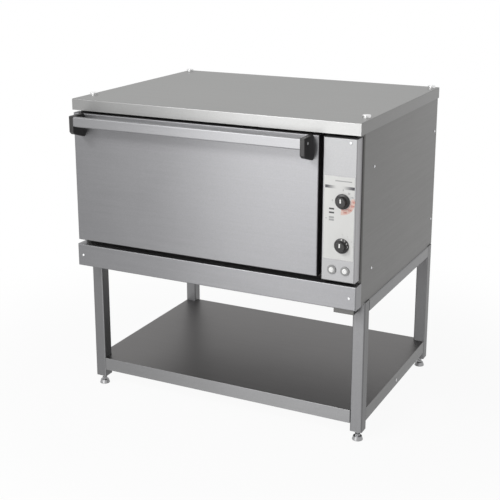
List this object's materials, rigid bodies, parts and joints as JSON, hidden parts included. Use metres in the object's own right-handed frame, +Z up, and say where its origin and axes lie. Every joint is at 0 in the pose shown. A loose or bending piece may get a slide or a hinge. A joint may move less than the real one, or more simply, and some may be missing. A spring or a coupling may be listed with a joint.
{
  "type": "roasting cabinet",
  "caption": "Stainless steel roasting oven cabinet with a drop-down door and side controls, on an open stand with a lower shelf.",
  "frame": {"origin": "on the floor, under the middle of the whole cabinet with its handle", "axes": "+X to the right of a person who faces the door, +Y to the back, +Z up"},
  "size_m": [1, 0.834, 1.043],
  "materials": {
    "stainless_steel": "brushed",
    "zinc_steel": "zinc plated",
    "dark_steel": "heat darkened",
    "black_plastic": "matte",
    "pale_plastic": "matte",
    "lamp_lens": "gloss",
    "label_face": "satin",
    "seal_rubber": "matte",
    "mineral_wool": "matte",
    "element_sheath": "oxidised",
    "copper_bulb": "satin",
    "chromed_wire": "bright"
  },
  "bodies": {
    "cabinet": {"back_panel": "stainless_steel", "back_rail": "stainless_steel", "bottom_panel": "stainless_steel", "cable_gland": "black_plastic", "casing_screws": "stainless_steel", "chamber_supports": "zinc_steel", "control_panel": "stainless_steel", "cutout_cover": "stainless_steel", "door_seal": "seal_rubber", "element_brackets": "zinc_steel", "front_frame": "dark_steel", "front_rail": "stainless_steel", "hearth_plate": "dark_steel", "heat_switch_body": "pale_plastic", "hinge_ears": "zinc_steel", "label_plate": "label_face", "leg_back_left": "stainless_steel", "leg_back_right": "stainless_steel", "leg_front_left": "stainless_steel", "leg_front_right": "stainless_steel", "leg_inserts": "black_plastic", "lower_elements": "element_sheath", "lower_fascia": "stainless_steel", "lower_shelf": "stainless_steel", "oven_chamber": "stainless_steel", "oven_insulation": "mineral_wool", "partition": "stainless_steel", "pilot_lamp_holders": "black_plastic", "pilot_lamp_lenses": "lamp_lens", "runner_left": "chromed_wire", "runner_right": "chromed_wire", "shelf_bolts": "zinc_steel", "side_panel_left": "stainless_steel", "side_panel_right": "stainless_steel", "side_rail_left": "stainless_steel", "side_rail_right": "stainless_steel", "stacking_studs": "stainless_steel", "terminal_block": "pale_plastic", "thermostat_body": "pale_plastic", "thermostat_bulb": "copper_bulb", "top_panel": "stainless_steel", "upper_elements": "element_sheath"},
    "door": {"door_outer_panel": "stainless_steel", "door_inner_panel": "stainless_steel", "door_insulation": "mineral_wool", "hinge_blocks": "zinc_steel", "hinge_pins": "zinc_steel", "handle_bar": "stainless_steel", "handle_bracket_left": "black_plastic", "handle_bracket_right": "black_plastic", "handle_screws": "zinc_steel"},
    "thermostat_dial": {"thermostat_knob": "black_plastic", "thermostat_shaft": "zinc_steel"},
    "heat_switch_dial": {"heat_switch_knob": "black_plastic", "heat_switch_shaft": "zinc_steel"},
    "wire_grid": {"wire_grid": "chromed_wire"},
    "foot_front_left": {"foot_front_left": "zinc_steel"},
    "foot_front_right": {"foot_front_right": "zinc_steel"},
    "foot_back_left": {"foot_back_left": "zinc_steel"},
    "foot_back_right": {"foot_back_right": "zinc_steel"}
  },
  "joints": [
    {"name": "door_hinge", "type": "hinge", "parent": "cabinet", "child": "door", "pos_m": [0, -0.337, 0.577], "axis": [1, 0, 0], "range_deg": [0, 90], "stiffness_Nm_per_rad": 8, "springref_deg": -20.05},
    {"name": "thermostat_turn", "type": "hinge", "parent": "cabinet", "child": "thermostat_dial", "pos_m": [0.45, -0.355, 0.801], "axis": [0, 1, 0], "range_deg": [0, 270]},
    {"name": "heat_switch_turn", "type": "hinge", "parent": "cabinet", "child": "heat_switch_dial", "pos_m": [0.45, -0.355, 0.666], "axis": [0, 1, 0], "range_deg": [0, 270]},
    {"name": "grid_slide", "type": "slide", "parent": "cabinet", "child": "wire_grid", "axis": [0, -1, 0], "range_m": [0, 0.074]},
    {"name": "foot_front_left_screw", "type": "slide", "parent": "cabinet", "child": "foot_front_left", "axis": [0, 0, -1], "range_m": [0, 0.02]},
    {"name": "foot_front_right_screw", "type": "slide", "parent": "cabinet", "child": "foot_front_right", "axis": [0, 0, -1], "range_m": [0, 0.02]},
    {"name": "foot_back_left_screw", "type": "slide", "parent": "cabinet", "child": "foot_back_left", "axis": [0, 0, -1], "range_m": [0, 0.02]},
    {"name": "foot_back_right_screw", "type": "slide", "parent": "cabinet", "child": "foot_back_right", "axis": [0, 0, -1], "range_m": [0, 0.02]}
  ]
}
